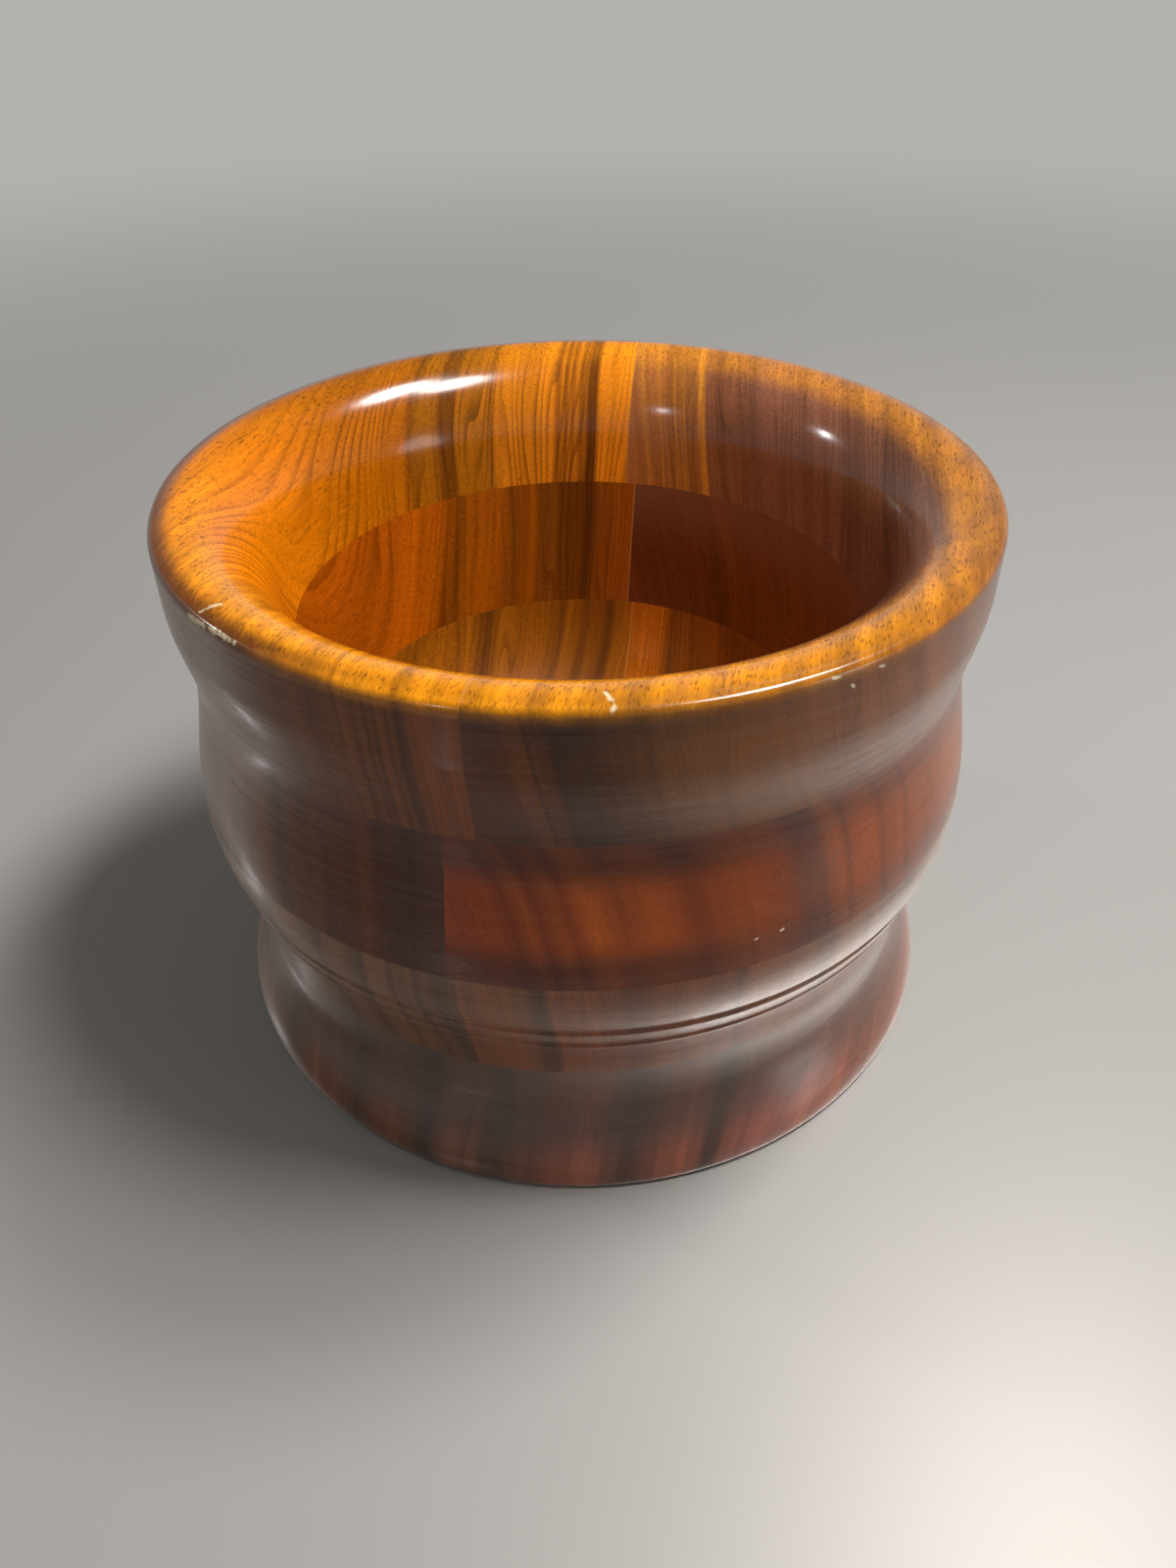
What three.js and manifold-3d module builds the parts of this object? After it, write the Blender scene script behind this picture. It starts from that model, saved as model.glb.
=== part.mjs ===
// Laminated turned wooden bowl. Units: millimetres, +Z up, the table at Z = 0, the lathe axis on Z.
// Four courses of two boards each are glued edge to edge and face to face, then turned as one block.
import * as THREE from 'three';
import { mergeVertices } from 'three/addons/utils/BufferGeometryUtils.js';
import Module from 'manifold-3d';

const wasm = await Module();
wasm.setup();

// Thickness of each course of boards after planing and turning, from the table up
const FOOT_THICKNESS = 31.5;
const WAIST_THICKNESS = 33.5;
const BELLY_THICKNESS = 31.7;
const RIM_THICKNESS = 30.3;

// Edge joint of each course: distance from the lathe axis, and turn of the rim course against the rest
const FOOT_SEAM_OFFSET = 7;
const WAIST_SEAM_OFFSET = -0.3;
const BELLY_SEAM_OFFSET = -1.8;
const RIM_SEAM_OFFSET = -0.5;
const RIM_SEAM_TURN = 3.4;

// Outside form: the widest and narrowest places, where the wall is upright, set out from the belly
const BELLY_RADIUS = 88.9;
const BELLY_BELOW_JOINT = 0.5;
const NECK_HOLLOW = 4;
const NECK_BELOW_JOINT = 1.7;
const LIP_SPREAD = 2.7;
const LIP_BELOW_CROWN = 12.7;
const COVE_HOLLOW = 8.5;
const COVE_HEIGHT = 22.3;
const FOOT_SPREAD = 7.3;
const FOOT_HEIGHT = 1.8;
const FOOT_EDGE_ROUNDING = 1.4;
const UNDERCUT_STEEPNESS = 0.38;

// Two lines cut with the point of the tool where the belly turns under
const GROOVE_ABOVE_JOINT = 13.2;
const GROOVE_SPACING = 6.1;
const GROOVE_DEPTH = 0.7;
const GROOVE_HALF_WIDTH = 0.7;

// Rim: a soft outer arris, a nearly flat crown and a flare that runs out in the inside wall
const ARRIS_ROUNDING = 1.6;
const CROWN_RISE = 0.5;
const CROWN_INSET = 4.3;
const FLARE_WIDTH = 18.5;
const FLARE_DEPTH = 27;
const FLARE_TURN = 72;

// Inside below the wall: a hollow that rounds into a dished floor
const HOLLOW_WIDTH = 36;
const HOLLOW_DROP = 28;
const FLOOR_DISH = 1;

// Lacquer, and the reach of the cutting spaces past the block
const LACQUER_ROUGHNESS = 0.25;
const SPACE = 4 * BELLY_RADIUS;

// Facets
const TURN_STEPS = 60;
const WALL_STEPS = 6;
const ROLL_STEPS = 3;
const FLARE_STEPS = 7;
const HOLLOW_STEPS = 9;

// Levels of the joints, the crown and the arris, and the radii that follow from the belly
const WAIST_BASE = FOOT_THICKNESS;
const BELLY_BASE = WAIST_BASE + WAIST_THICKNESS;
const RIM_BASE = BELLY_BASE + BELLY_THICKNESS;
const TOP = RIM_BASE + RIM_THICKNESS;
const ARRIS_HEIGHT = TOP - CROWN_RISE;
const GROOVE_HEIGHTS = [0, 1].map((line) => WAIST_BASE + GROOVE_ABOVE_JOINT + line * GROOVE_SPACING);
const NECK_RADIUS = BELLY_RADIUS - NECK_HOLLOW;
const LIP_RADIUS = NECK_RADIUS + LIP_SPREAD;
const COVE_RADIUS = BELLY_RADIUS - COVE_HOLLOW;
const FOOT_RADIUS = COVE_RADIUS + FOOT_SPREAD;
const CROWN_RADIUS = LIP_RADIUS - CROWN_INSET;

const STATIONS = [
  new THREE.Vector2(FOOT_RADIUS, FOOT_HEIGHT),
  new THREE.Vector2(COVE_RADIUS, COVE_HEIGHT),
  new THREE.Vector2(BELLY_RADIUS, BELLY_BASE - BELLY_BELOW_JOINT),
  new THREE.Vector2(NECK_RADIUS, RIM_BASE - NECK_BELOW_JOINT),
  new THREE.Vector2(LIP_RADIUS, TOP - LIP_BELOW_CROWN),
];

// Radius of the outside wall: smooth waves between the stations, with the two grooves cut in
function outsideRadius(height) {
  const next = Math.max(1, STATIONS.findIndex((station) => station.y >= height));
  const above = STATIONS[next];
  const below = STATIONS[next - 1];
  const steepness = below === STATIONS[1] ? UNDERCUT_STEEPNESS : 0;
  const straight = THREE.MathUtils.inverseLerp(below.y, above.y, height);
  const wave = THREE.MathUtils.smoothstep(height, below.y, above.y);
  const share = wave + steepness * (wave - straight);
  const cuts = GROOVE_HEIGHTS.map((groove) => 1 - Math.abs(height - groove) / GROOVE_HALF_WIDTH);
  return THREE.MathUtils.lerp(below.x, above.x, share) - GROOVE_DEPTH * Math.max(0, ...cuts);
}

// Heights at which the outside wall is drawn: even steps between stations, three points at each groove
function outsideHeights() {
  const heights = [STATIONS.at(-1).y];
  for (let span = 1; span < STATIONS.length; span += 1) {
    for (let step = 0; step < WALL_STEPS; step += 1) {
      heights.push(THREE.MathUtils.lerp(STATIONS[span - 1].y, STATIONS[span].y, step / WALL_STEPS));
    }
  }
  const reach = 2 * GROOVE_HALF_WIDTH;
  const clear = (height) => GROOVE_HEIGHTS.every((groove) => Math.abs(height - groove) > reach);
  const sides = [-GROOVE_HALF_WIDTH, 0, GROOVE_HALF_WIDTH];
  const cuts = GROOVE_HEIGHTS.flatMap((groove) => sides.map((side) => groove + side));
  return heights.filter(clear).concat(cuts).sort((low, high) => low - high);
}

// Outside of the whole turned block, from the table to the crown
function outsideLine() {
  const edge = new THREE.EllipseCurve(
    FOOT_RADIUS - FOOT_EDGE_ROUNDING, FOOT_HEIGHT, FOOT_EDGE_ROUNDING, FOOT_HEIGHT, -Math.PI / 2, 0);
  const arris = new THREE.EllipseCurve(
    LIP_RADIUS - ARRIS_ROUNDING, ARRIS_HEIGHT - ARRIS_ROUNDING,
    ARRIS_ROUNDING, ARRIS_ROUNDING, 0, Math.PI / 2);
  const wall = outsideHeights().map((height) => new THREE.Vector2(outsideRadius(height), height));
  return [...edge.getPoints(ROLL_STEPS).slice(0, -1), ...wall, ...arris.getPoints(ROLL_STEPS),
    new THREE.Vector2(CROWN_RADIUS, TOP)];
}

// Inside of the whole turned block, from the crown down to the middle of the floor
function insideLine() {
  const turn = THREE.MathUtils.degToRad(FLARE_TURN);
  const flare = new THREE.EllipseCurve(
    CROWN_RADIUS, TOP - FLARE_DEPTH, FLARE_WIDTH, FLARE_DEPTH, Math.PI / 2, Math.PI / 2 + turn);
  const flareEnd = flare.getPoint(1);
  const wallSlope = FLARE_WIDTH / FLARE_DEPTH / Math.tan(turn);
  const wallEnd = new THREE.Vector2(flareEnd.x - wallSlope * (flareEnd.y - BELLY_BASE), BELLY_BASE);
  const floorHeight = BELLY_BASE - HOLLOW_DROP;
  const hollow = new THREE.QuadraticBezierCurve(
    wallEnd,
    new THREE.Vector2(wallEnd.x - wallSlope * HOLLOW_DROP, floorHeight),
    new THREE.Vector2(wallEnd.x - HOLLOW_WIDTH, floorHeight));
  return [...flare.getPoints(FLARE_STEPS).slice(1), ...hollow.getPoints(HOLLOW_STEPS),
    new THREE.Vector2(0, floorHeight - FLOOR_DISH)];
}

// A closed three.js geometry as a solid that can be cut
function solidOf(geometry) {
  geometry.deleteAttribute('normal');
  geometry.deleteAttribute('uv');
  const merged = mergeVertices(geometry, 1e-4);
  const mesh = new wasm.Mesh({
    numProp: 3,
    vertProperties: new Float32Array(merged.attributes.position.array),
    triVerts: new Uint32Array(merged.index.array),
  });
  return new wasm.Manifold(mesh);
}

// A cut solid back as a three.js geometry with flat facets
function geometryOf(solid) {
  const mesh = solid.getMesh();
  const geometry = new THREE.BufferGeometry();
  geometry.setAttribute('position', new THREE.BufferAttribute(mesh.vertProperties, 3));
  geometry.setIndex(new THREE.BufferAttribute(mesh.triVerts, 1));
  geometry.computeVertexNormals();
  return geometry;
}

// The block as it leaves the lathe, in one solid
function turnedBlock() {
  const section = [new THREE.Vector2(0, 0), ...outsideLine(), ...insideLine()];
  const lathe = new THREE.LatheGeometry(section, TURN_STEPS);
  lathe.rotateX(Math.PI / 2);
  return solidOf(lathe);
}

// The space of one course of boards, wide enough to hold the whole block
function courseSpace(base, thickness) {
  const slab = new THREE.BoxGeometry(SPACE, SPACE, thickness);
  slab.translate(0, 0, base + thickness / 2);
  return solidOf(slab);
}

// The space on the right of a course's edge joint, over the full height
function rightSpace(seamOffset, seamTurn) {
  const half = new THREE.BoxGeometry(SPACE, 2 * SPACE, 2 * SPACE);
  half.translate(seamOffset + SPACE / 2, 0, 0);
  half.rotateZ(THREE.MathUtils.degToRad(seamTurn));
  return solidOf(half);
}

function board(name, solid, colour) {
  const finish = new THREE.MeshStandardMaterial({
    color: colour,
    roughness: LACQUER_ROUGHNESS,
    metalness: 0,
  });
  const mesh = new THREE.Mesh(geometryOf(solid), finish);
  mesh.name = name;
  return mesh;
}

const COURSES = [
  { name: 'foot', base: 0, thickness: FOOT_THICKNESS, seam: FOOT_SEAM_OFFSET, turn: 0,
    left: '#4a2418', right: '#5a2a1c' },
  { name: 'waist', base: WAIST_BASE, thickness: WAIST_THICKNESS, seam: WAIST_SEAM_OFFSET, turn: 0,
    left: '#5a3a24', right: '#7a4428' },
  { name: 'belly', base: BELLY_BASE, thickness: BELLY_THICKNESS, seam: BELLY_SEAM_OFFSET, turn: 0,
    left: '#3c2018', right: '#8a3c18' },
  { name: 'rim', base: RIM_BASE, thickness: RIM_THICKNESS, seam: RIM_SEAM_OFFSET, turn: RIM_SEAM_TURN,
    left: '#a86426', right: '#8e5224' },
];

const block = turnedBlock();
const bowl = new THREE.Group();
for (const course of COURSES) {
  const ring = block.intersect(courseSpace(course.base, course.thickness));
  const right = rightSpace(course.seam, course.turn);
  bowl.add(board(`${course.name}_board_left`, ring.subtract(right), course.left));
  bowl.add(board(`${course.name}_board_right`, ring.intersect(right), course.right));
}

export default bowl;
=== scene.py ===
"""Looks of a laminated turned wooden bowl: eight lacquered hardwood boards, glued and turned as one block."""
import logging
import math
from dataclasses import dataclass, field
from enum import Enum
from typing import Any

import bmesh
import bpy
from mathutils import Matrix, Vector


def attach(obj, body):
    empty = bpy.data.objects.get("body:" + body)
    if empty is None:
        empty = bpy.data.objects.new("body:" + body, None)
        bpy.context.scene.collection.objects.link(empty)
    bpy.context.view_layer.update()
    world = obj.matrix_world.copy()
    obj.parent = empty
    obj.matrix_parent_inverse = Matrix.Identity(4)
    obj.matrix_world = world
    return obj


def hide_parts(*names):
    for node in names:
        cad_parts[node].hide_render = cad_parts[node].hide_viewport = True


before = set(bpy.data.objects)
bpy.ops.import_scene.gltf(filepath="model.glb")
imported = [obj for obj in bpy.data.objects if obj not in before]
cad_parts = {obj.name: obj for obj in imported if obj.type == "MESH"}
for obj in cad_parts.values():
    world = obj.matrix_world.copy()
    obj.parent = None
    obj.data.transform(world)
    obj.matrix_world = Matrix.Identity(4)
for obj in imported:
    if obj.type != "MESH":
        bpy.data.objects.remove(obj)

log = logging.getLogger("bowl")

MM = 0.001
# Length in mm under which two places count as one
NEAR = 1e-6
# Distance in m within which the saw takes a corner as lying on its cut
SAW_TOLERANCE = 1e-8

Socket = bpy.types.NodeSocket
Tree = bpy.types.NodeTree
# Setting of a Map Range node that eases in and out
SMOOTH = {"interpolation_type": "SMOOTHSTEP"}


def linear(hex_colour: str) -> tuple[float, float, float, float]:
    """Turns an sRGB hex colour to linear light.

    Args:
        hex_colour: Colour written as "#rrggbb".

    Returns:
        Red, green, blue and alpha, as shader sockets take them.
    """
    parts = [int(hex_colour[place:place + 2], 16) / 255 for place in (1, 3, 5)]
    red, green, blue = (part / 12.92 if part <= 0.04045 else ((part + 0.055) / 1.055) ** 2.4 for part in parts)
    return red, green, blue, 1.0


def smooth(value: float, low: float, high: float) -> float:
    """Gives the share of a smooth wave between two places.

    Args:
        value: Where the share is wanted.
        low: Place where the share is 0.
        high: Place where the share is 1.

    Returns:
        Share from 0 to 1, level at both ends.
    """
    share = min(max((value - low) / (high - low), 0.0), 1.0)
    return share * share * (3 - 2 * share)


def add_node(tree: Tree, kind: str, inputs: dict[Any, Any] | None = None, out: int | str = 0,
             **settings: Any) -> Socket | None:
    """Adds one node with its settings and links.

    Args:
        tree: Node tree that gets the node.
        kind: Blender's type name of the node, after "ShaderNode".
        inputs: Input name or number to an output socket, which is linked, or to a plain value.
        out: Number or name of the output that is wanted.
        settings: Attributes of the node, such as operation or noise_dimensions.

    Returns:
        That output, or None where the node ends the tree.
    """
    node = tree.nodes.new(f"ShaderNode{kind}")
    for name, value in settings.items():
        setattr(node, name, value)
    for name, value in (inputs or {}).items():
        if isinstance(value, Socket):
            tree.links.new(value, node.inputs[name])
        else:
            node.inputs[name].default_value = value
    return node.outputs[out] if node.outputs else None


def empty_tree(owner: bpy.types.Material | bpy.types.World) -> Tree:
    """Gives a material or a world an empty node tree."""
    owner.use_nodes = True
    owner.node_tree.nodes.clear()
    return owner.node_tree


def add_object(name: str, data: bpy.types.ID) -> bpy.types.Object:
    """Adds an object to the scene, made of a mesh, a lamp or a camera."""
    thing = bpy.data.objects.new(name, data)
    bpy.context.scene.collection.objects.link(thing)
    return thing


class Side(Enum):
    """Which board of a course: left or right of its edge joint."""

    LEFT = "left"
    RIGHT = "right"


@dataclass(frozen=True)
class TurnedForm:
    """The section that the lathe cut, in millimetres, as the frame's solids have it.

    Stations of the outside are (radius, height). A groove is (height, depth, half its width).
    """

    waist_base: float = 31.5
    belly_base: float = 65.0
    rim_base: float = 96.7
    top: float = 127.0
    foot: tuple[float, float] = (87.7, 1.8)
    cove: tuple[float, float] = (80.4, 22.3)
    belly: tuple[float, float] = (88.9, 64.5)
    neck: tuple[float, float] = (84.9, 95.0)
    lip: tuple[float, float] = (87.6, 114.3)
    undercut_steepness: float = 0.38
    foot_edge_rounding: float = 1.4
    grooves: tuple[tuple[float, float, float], ...] = ((44.7, 0.55, 1.0), (50.8, 0.65, 1.6))
    arris_rounding: float = 1.6
    crown_rise: float = 0.5
    crown_radius: float = 83.3
    flare_width: float = 18.5
    flare_depth: float = 27.0
    flare_turn: float = 72.0
    hollow_width: float = 36.0
    hollow_drop: float = 28.0
    floor_dish: float = 1.0
    step: float = 0.9
    rounding_steps: int = 8
    groove_steps: int = 8
    crown_steps: int = 5
    flare_steps: int = 32
    rim_wall_steps: int = 6
    belly_wall_steps: int = 16
    hollow_steps: int = 36
    floor_steps: int = 8

    def outside_radius(self, height: float) -> float:
        """Gives the radius of the outside wall.

        Args:
            height: Height over the table.

        Returns:
            Radius there, with the two tool lines cut in.
        """
        stations = (self.foot, self.cove, self.belly, self.neck, self.lip)
        below, above = self.lip, self.lip
        for low, high in zip(stations, stations[1:]):
            if low[1] <= height <= high[1]:
                below, above = low, high
        share = 0.0
        if above[1] > below[1]:
            straight = (height - below[1]) / (above[1] - below[1])
            wave = smooth(height, below[1], above[1])
            share = wave + (wave - straight) * (self.undercut_steepness if below == self.cove else 0)
        radius = below[0] + (above[0] - below[0]) * share
        for middle, depth, half_width in self.grooves:
            radius -= depth * smooth(1 - abs(height - middle) / half_width, 0, 1)
        return radius

    def outside_line(self) -> list[tuple[float, float]]:
        """Gives the outside of the section from the table up to the crown, as (radius, height) points."""
        points = []
        edge_centre = self.foot[0] - self.foot_edge_rounding
        for turn in range(self.rounding_steps):
            angle = math.radians(-90 + turn * 90 / self.rounding_steps)
            points.append((edge_centre + self.foot_edge_rounding * math.cos(angle),
                           self.foot[1] + self.foot[1] * math.sin(angle)))
        arris_height = self.top - self.crown_rise
        wall_top = arris_height - self.arris_rounding
        heights = [self.foot[1] + self.step * count for count in range(int((wall_top - self.foot[1]) / self.step) + 1)]
        cuts = [middle + half_width * part / self.groove_steps for middle, _, half_width in self.grooves
                for part in range(-self.groove_steps, self.groove_steps + 1)]
        joints = [self.waist_base, self.belly_base, self.rim_base]
        clear = [height for height in heights
                 if all(abs(height - other) > self.step / 3 for other in cuts + joints + [wall_top])]
        points += [(self.outside_radius(height), height) for height in sorted(clear + cuts + joints)]
        for turn in range(self.rounding_steps + 1):
            angle = math.radians(turn * 90 / self.rounding_steps)
            points.append((self.lip[0] - self.arris_rounding * (1 - math.cos(angle)),
                           wall_top + self.arris_rounding * math.sin(angle)))
        arris_end = points[-1]
        for part in range(1, self.crown_steps + 1):
            share = part / self.crown_steps
            points.append((arris_end[0] + (self.crown_radius - arris_end[0]) * share,
                           arris_height + self.crown_rise * math.sin(share * math.pi / 2)))
        return points

    def inside_line(self) -> list[tuple[float, float]]:
        """Gives the inside of the section from the crown down to the middle of the floor."""
        points = []
        turn = math.radians(self.flare_turn)
        for part in range(1, self.flare_steps + 1):
            angle = turn * part / self.flare_steps
            points.append((self.crown_radius - self.flare_width * math.sin(angle),
                           self.top - self.flare_depth * (1 - math.cos(angle))))
        flare_end = points[-1]
        slope = self.flare_width / self.flare_depth / math.tan(turn)
        for low, steps in ((self.rim_base, self.rim_wall_steps), (self.belly_base, self.belly_wall_steps)):
            high = points[-1][1]
            for part in range(1, steps + 1):
                height = high + (low - high) * part / steps
                points.append((flare_end[0] - slope * (flare_end[1] - height), height))
        wall_end = points[-1][0]
        floor_edge = self.belly_base - self.hollow_drop
        start = Vector((wall_end, self.belly_base))
        bend = Vector((wall_end - slope * self.hollow_drop, floor_edge))
        end = Vector((wall_end - self.hollow_width, floor_edge))
        for part in range(1, self.hollow_steps + 1):
            share = part / self.hollow_steps
            place = start * (1 - share) ** 2 + bend * (2 * share * (1 - share)) + end * share ** 2
            points.append((place.x, place.y))
        for part in range(1, self.floor_steps + 1):
            share = part / self.floor_steps
            points.append((end.x * (1 - share), floor_edge - self.floor_dish * math.sin(share * math.pi / 2)))
        return points

    def section(self, base: float, top: float) -> list[tuple[float, float]]:
        """Cuts one course out of the turned section.

        Args:
            base: Height of the course's lower face.
            top: Height of its upper face, or of the crown.

        Returns:
            Closed outline of the course, as (radius, height) points, from its lower outer edge upwards.
        """
        outer = [point for point in self.outside_line() if base - NEAR <= point[1] <= top + NEAR]
        inner = [point for point in self.inside_line() if base - NEAR <= point[1] <= top + NEAR]
        if not inner:
            return outer + [(0.0, top), (0.0, base)]
        if inner[-1][0] < NEAR:
            return outer + inner + [(0.0, base)]
        return outer + inner


@dataclass(frozen=True)
class EdgeJoint:
    """The upright glued joint between a course's two boards: mm from the lathe axis, and degrees turned about it."""

    offset: float
    turn: float

    def across(self) -> Vector:
        """Gives the level direction across the joint, from the left board to the right one."""
        turn = math.radians(self.turn)
        return Vector((math.cos(turn), math.sin(turn), 0))


@dataclass(frozen=True)
class Nick:
    """A chip or scrape in the lacquer: where it starts and ends, and how wide it is, in mm."""

    start: tuple[float, float, float]
    end: tuple[float, float, float]
    width: float


@dataclass(frozen=True)
class BoardPlace:
    """Where a point of a board lies, as sockets of the board's material. Lengths in mm.

    Attributes:
        spot: The place itself.
        from_joint: Distance from the edge joint.
        across: Distance over the growth layers, counted from the edge joint.
        along: Distance along the fibres, from the front (negative) to the back.
        up: Height over the table.
        layered: Across, along and up as one vector.
        outside: 1 on the outside of the wall, 0 inside and on the crown.
        crown: 1 on the crown of the rim, 0 below it.
    """

    spot: Socket
    from_joint: Socket
    across: Socket
    along: Socket
    up: Socket
    layered: Socket
    outside: Socket
    crown: Socket


# Cells of the noises in mm, along X, Y (the fibres) and Z
LAYER_DRIFT_CELL = (45, 170, 60)
RING_SPACING_CELL = (8, 160, 70)
RING_STRENGTH_CELL = (11, 50, 25)
RING_GROUP_CELL = (3.2, 220, 90)
FIBRE_CELL = (0.5, 40, 0.5)
WEAR_CELL = (4, 9, 4)
CHIP_CELL = (0.9, 0.9, 0.9)
# Pores and sanding marks are drawn coarser than real, so that they show
PORE_CELL = (0.32, 1.9, 0.32)
SANDING_CELL = (26, 26, 0.8)

# Painted sheen colour high on the inside
INSIDE_SHEEN_COLOUR = "#94624a"
WORN_CROWN_COLOUR = "#f2980f"
GRIME_COLOUR = "#5a2c12"
# Painted sheen colour in the hollow above the foot
COVE_SHEEN_COLOUR = "#604c42"
GLUE_COLOUR = "#c98f4a"
BARE_WOOD_COLOUR = "#e8d2aa"

# How many rings the spacing may stray, and how far in mm noise frays the edges of shaded and grimy parts
RING_STRAY = 8.0
FRAYING = 5.0
LACQUER_IOR = 1.5
# Roughness of the wood under the lacquer, what the outside adds, and what a sanding mark adds
WOOD_ROUGHNESS = 0.1
OUTSIDE_ROUGHNESS = 0.13
MARK_ROUGHNESS = 0.16
# Relief of sanding marks and nicks against that of pores, which the bump's distance stands for
MARK_RELIEF = 0.5
NICK_RELIEF = -2.0
BUMP_STRENGTH = 0.12
BUMP_DISTANCE = 0.1


@dataclass(frozen=True)
class LacqueredWood:
    """A tropical hardwood board under clear lacquer: striped heartwood with fine open pores, turned and sanded.

    The pattern is solid, so one growth layer runs over the rim, down the wall and across the floor as in real wood.
    Fibres lie along Y. The layers stand nearly upright, side by side, so they show as upright stripes.

    Attributes:
        name: Name of the finish.
        outside_bands_with_painted_light: Stripes of the outside, as distance from the edge joint in mm and colour, with
            painted light and shade: the wood made darker or lighter for the light the outside gets.
        inside_bands_with_painted_light: Stripes of the inside and the crown, likewise, with the painted light, shade
            and sheen that the inside gets.
        joint: Edge joint that the stripes are counted from.
        middle: Height of the board's middle in mm.
        pith: Where the tree's pith was, across from the joint and up, in mm.
        wander: How far the growth layers stray in mm.
        ring_width: Width of one growth ring in mm.
        ring_depth: How much a ring darkens towards its end.
        group_depth: How much groups of rings differ.
        crown_wear: How far the crown's front is worn to pale wood.
        back_wear: Share of that wear at the back.
        rim_grime: Strength of the grime along the crown's outer edge.
        cove_painted_sheen: Strength of the painted sheen that greys the hollow above the foot, standing in for the
            floor's reflection.
        inside_painted_sheen: Strength of the painted sheen high on the inside, a lighter, greyer colour standing in for
            a reflection.
        back_shade: Brightness of the board's far outer corner.
        painted_edge_shade: Brightness of the painted shade outside next to the face joints, where the wall gets less
            light.
        inside_dullness: Roughness that the inside adds.
        outside_coat: Weight of the lacquer outside.
        inside_coat: Weight of the lacquer inside.
        coat_roughness: Roughness of the lacquer.
        nicks: Chips and scrapes in the lacquer.
        seed: Shift of the noises, so that no two boards are alike.
    """

    name: str
    outside_bands_with_painted_light: tuple[tuple[float, str], ...]
    inside_bands_with_painted_light: tuple[tuple[float, str], ...]
    joint: EdgeJoint
    middle: float
    pith: tuple[float, float] = (-900.0, 60.0)
    wander: float = 2.0
    ring_width: float = 1.5
    ring_depth: float = 0.22
    group_depth: float = 0.2
    crown_wear: float = 0.0
    back_wear: float = 0.5
    rim_grime: float = 0.0
    cove_painted_sheen: float = 0.0
    inside_painted_sheen: float = 0.0
    back_shade: float = 1.0
    painted_edge_shade: float = 1.0
    inside_dullness: float = 0.0
    outside_coat: float = 0.5
    inside_coat: float = 0.4
    coat_roughness: float = 0.12
    nicks: tuple[Nick, ...] = ()
    seed: float = 0.0

    def material(self) -> bpy.types.Material:
        """Makes the board's material: striped heartwood with pores, wear and sanding marks, under clear lacquer."""
        material = bpy.data.materials.new(self.name)
        tree = empty_tree(material)
        place = self.find_place(tree)
        groups = self.ring_groups(tree, place)
        fibres = self.fibres(tree, place)
        pores = self.pores(tree, place)
        chipped = self.chipped(tree, place)
        shade = self.growth_rings(tree, place)
        for part in (groups, fibres, pores, *self.dark_corner_and_painted_shade(tree, place, groups)):
            shade = add_node(tree, "Math", {0: shade, 1: part}, operation="MULTIPLY")
        colour = add_node(tree, "VectorMath", {0: self.heartwood(tree, place), "Scale": shade}, operation="SCALE")
        coverings = self.coverings(tree, place, shade, fibres)
        if chipped is not None:
            coverings.append((chipped, linear(BARE_WOOD_COLOUR)))
        for strength, covering in coverings:
            colour = add_node(tree, "Mix", {0: strength, 6: colour, 7: covering}, out=2, data_type="RGBA")
        shader = self.lacquer(tree, place, colour, pores, chipped)
        add_node(tree, "OutputMaterial", {"Surface": shader})
        return material

    def find_place(self, tree: Tree) -> BoardPlace:
        """Finds where a point lies on the board.

        Args:
            tree: The material's node tree.

        Returns:
            The place, with the growth layers as shells round the pith that wander a little.
        """
        spot = add_node(tree, "TexCoord", out="Object")
        spot = add_node(tree, "VectorMath", {0: spot, "Scale": 1 / MM}, operation="SCALE")
        from_joint = add_node(tree, "VectorMath", {
            0: spot, 1: tuple(self.joint.across())}, out="Value", operation="DOT_PRODUCT")
        from_joint = add_node(tree, "Math", {0: from_joint, 1: self.joint.offset}, operation="SUBTRACT")
        _, along, up = add_node(tree, "SeparateXYZ", {0: spot}).node.outputs
        across = add_node(tree, "CombineXYZ", {0: from_joint, 2: up})
        across = add_node(tree, "VectorMath", {
            0: across, 1: (self.pith[0], 0, self.pith[1])}, out="Value", operation="DISTANCE")
        drift = self.stretched_noise(tree, spot, LAYER_DRIFT_CELL, detail=1.0)
        drift = add_node(tree, "Math", {
            0: drift, 1: 4 * self.wander, 2: self.pith_reach() - 2 * self.wander}, operation="MULTIPLY_ADD")
        across = add_node(tree, "Math", {0: across, 1: drift}, operation="ADD")
        layered = add_node(tree, "CombineXYZ", {0: across, 1: along, 2: up})
        # Outside of the wall against inside and crown, by which way the surface faces
        normal = add_node(tree, "NewGeometry", out="Normal")
        outward = add_node(tree, "VectorMath", {0: spot, 1: (1, 1, 0)}, operation="MULTIPLY")
        outward = add_node(tree, "VectorMath", {0: outward}, operation="NORMALIZE")
        outward = add_node(tree, "VectorMath", {0: outward, 1: normal}, out="Value", operation="DOT_PRODUCT")
        outside = add_node(tree, "MapRange", {"Value": outward, "From Min": 0.1, "From Max": 0.7})
        crown = add_node(tree, "MapRange", {"Value": up, "From Min": 123.0, "From Max": 126.3}, **SMOOTH)
        return BoardPlace(spot, from_joint, across, along, up, layered, outside, crown)

    def pith_reach(self) -> float:
        """Gives what turns a distance from the pith to one from the edge joint, at the board's middle height."""
        return -math.copysign(math.hypot(self.pith[0], self.pith[1] - self.middle), -self.pith[0])

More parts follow.
